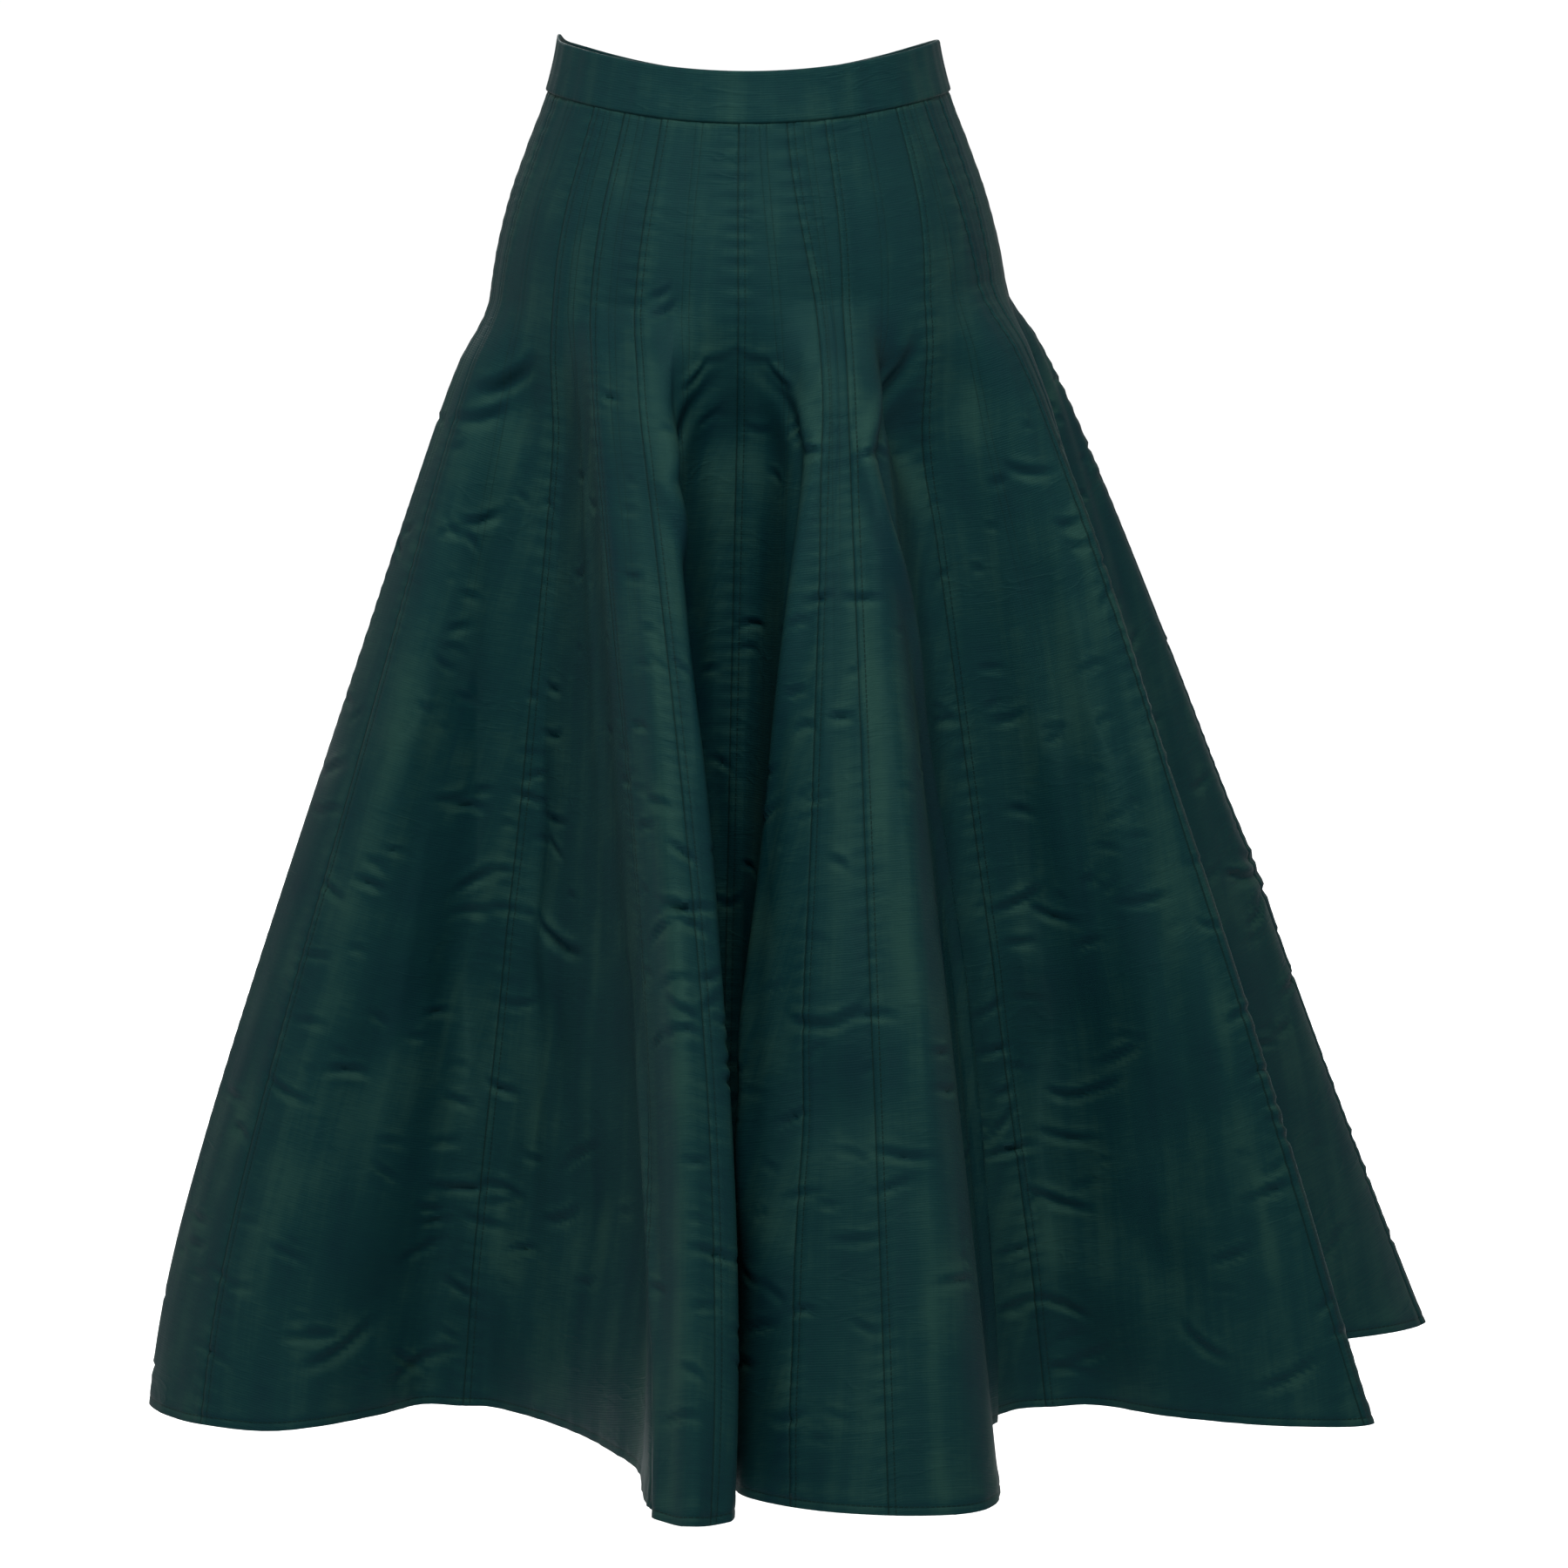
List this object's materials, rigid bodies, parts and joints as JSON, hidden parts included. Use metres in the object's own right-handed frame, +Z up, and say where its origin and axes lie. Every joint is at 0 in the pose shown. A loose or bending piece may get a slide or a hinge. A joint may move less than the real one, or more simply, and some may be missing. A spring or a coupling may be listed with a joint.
{
  "type": "flared midi skirt",
  "caption": "Flared midi skirt in stiff dark green faille, hip fitted under a narrow waistband, with deep rounded folds and a concealed zip at the centre back.",
  "frame": {"origin": "centre of the waist, level with the waist seam at the sides of the body, where the wearer holds the skirt up", "axes": "+Z up, the skirt's front faces -Y, +X is to the right as seen from the front"},
  "size_m": [0.8375, 0.8683, 0.8667],
  "materials": {
    "faille": "stiff ribbed silk faille, dark bottle green with a soft shot sheen",
    "zip_tape": "woven polyester zip tape with its closed coil",
    "zip_metal": "enamelled to match the cloth"
  },
  "bodies": {
    "skirt": {"gore_a1": "faille", "gore_a2": "faille", "gore_a3": "faille", "gore_b1": "faille", "gore_b2": "faille", "gore_b3": "faille", "gore_c1": "faille", "gore_c2": "faille", "gore_c3": "faille", "gore_d1": "faille", "gore_d2": "faille", "gore_d3": "faille", "gore_e1": "faille", "gore_e2": "faille", "gore_e3": "faille", "gore_f1": "faille", "gore_f2": "faille", "gore_f3": "faille", "gore_g1": "faille", "gore_g2": "faille", "gore_g3": "faille", "gore_h1": "faille", "gore_h2": "faille", "gore_h3": "faille", "waistband": "faille", "zip_tape": "zip_tape", "zip_slider": "zip_metal"},
    "pull": {"zip_pull": "zip_metal"}
  },
  "joints": [
    {"name": "pull_swing", "type": "hinge", "parent": "skirt", "child": "pull", "pos_m": [0, 0.09321, -0.00286], "axis": [1, 0, 0], "range_deg": [0, 150]}
  ]
}
